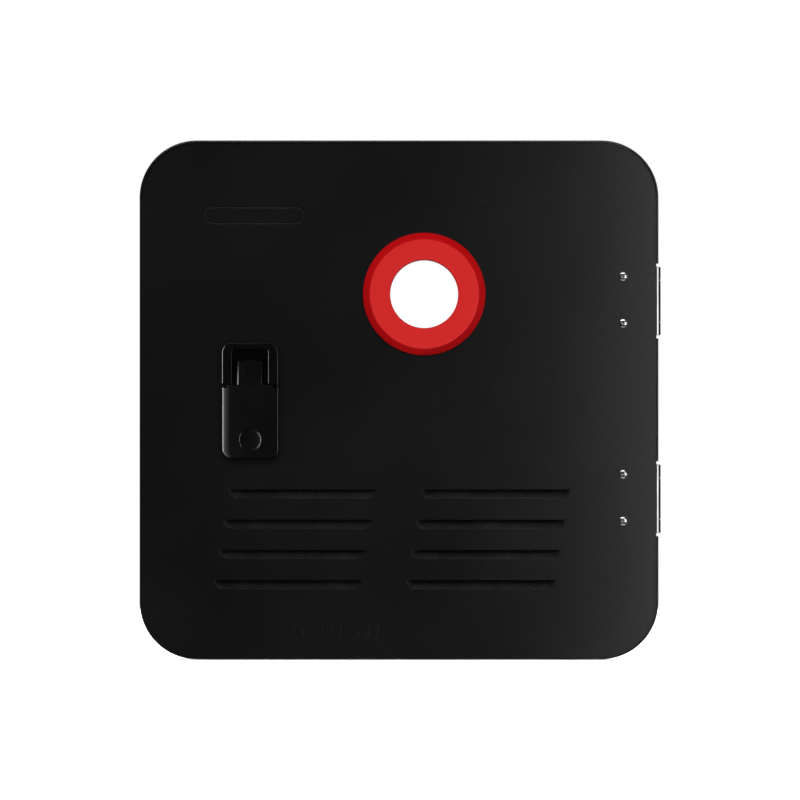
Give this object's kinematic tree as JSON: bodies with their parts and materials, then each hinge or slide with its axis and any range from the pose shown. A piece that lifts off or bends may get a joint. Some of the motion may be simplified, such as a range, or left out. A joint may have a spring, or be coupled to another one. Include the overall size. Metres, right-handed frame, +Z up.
{
  "type": "water heater access door",
  "caption": "Square pressed-steel wall door with a round exhaust outlet, louvres, a paddle latch and side hinges, hung in its flanged wall frame.",
  "frame": {"origin": "centre of the wall frame's flange, on the flange's back face", "axes": "+X to the right seen from outside the vehicle, +Y into the wall, +Z up"},
  "size_m": [0.3826, 0.048, 0.381],
  "materials": {
    "black_paint": "satin black baked enamel",
    "frame_steel": "satin black baked enamel",
    "foam": "matt closed-cell foam",
    "black_rubber": "matt moulded rubber",
    "plated_steel": "zinc plated",
    "rivet_metal": "bright rolled",
    "hinge_steel": "bright stainless",
    "red_silicone": "smooth moulded silicone",
    "gloss_black": "gloss moulded",
    "dull_black": "fine moulded grain",
    "spring_steel": "drawn wire"
  },
  "bodies": {
    "frame": {"mounting_frame": "frame_steel", "wall_gasket": "foam", "door_bumpers": "black_rubber", "strike_plate": "plated_steel", "strike_rivets": "rivet_metal", "hinge_frame_rivets": "rivet_metal", "upper_hinge_frame_leaf": "hinge_steel", "lower_hinge_frame_leaf": "hinge_steel", "upper_hinge_pin": "hinge_steel", "lower_hinge_pin": "hinge_steel"},
    "door": {"door_skin": "black_paint", "exhaust_ring": "red_silicone", "upper_hinge_door_leaf": "hinge_steel", "lower_hinge_door_leaf": "hinge_steel", "hinge_door_rivets": "rivet_metal", "latch_housing": "gloss_black", "latch_cover": "dull_black", "latch_cover_screws": "plated_steel", "paddle_pin": "plated_steel", "bolt_spring": "spring_steel"},
    "paddle": {"latch_paddle": "gloss_black"},
    "bolt": {"latch_bolt": "plated_steel"}
  },
  "joints": [
    {"name": "door_hinge", "type": "hinge", "parent": "frame", "child": "door", "pos_m": [0.18965, -0.0122, 0], "axis": [0, 0, 1], "range_deg": [0, 180]},
    {"name": "paddle_turn", "type": "hinge", "parent": "door", "child": "paddle", "pos_m": [-0.1093, -0.0168, 0.0066], "axis": [-1, 0, 0], "range_deg": [0, 22]},
    {"name": "bolt_slide", "type": "slide", "parent": "door", "child": "bolt", "axis": [1, 0, 0], "range_m": [0, 0.0071], "stiffness_N_per_m": 50, "springref_m": -0.012, "deforming": ["bolt_spring"]}
  ],
  "couplings": [
    {"joint": "bolt_slide", "follows": "paddle_turn", "m_per_rad": 0.0183}
  ]
}
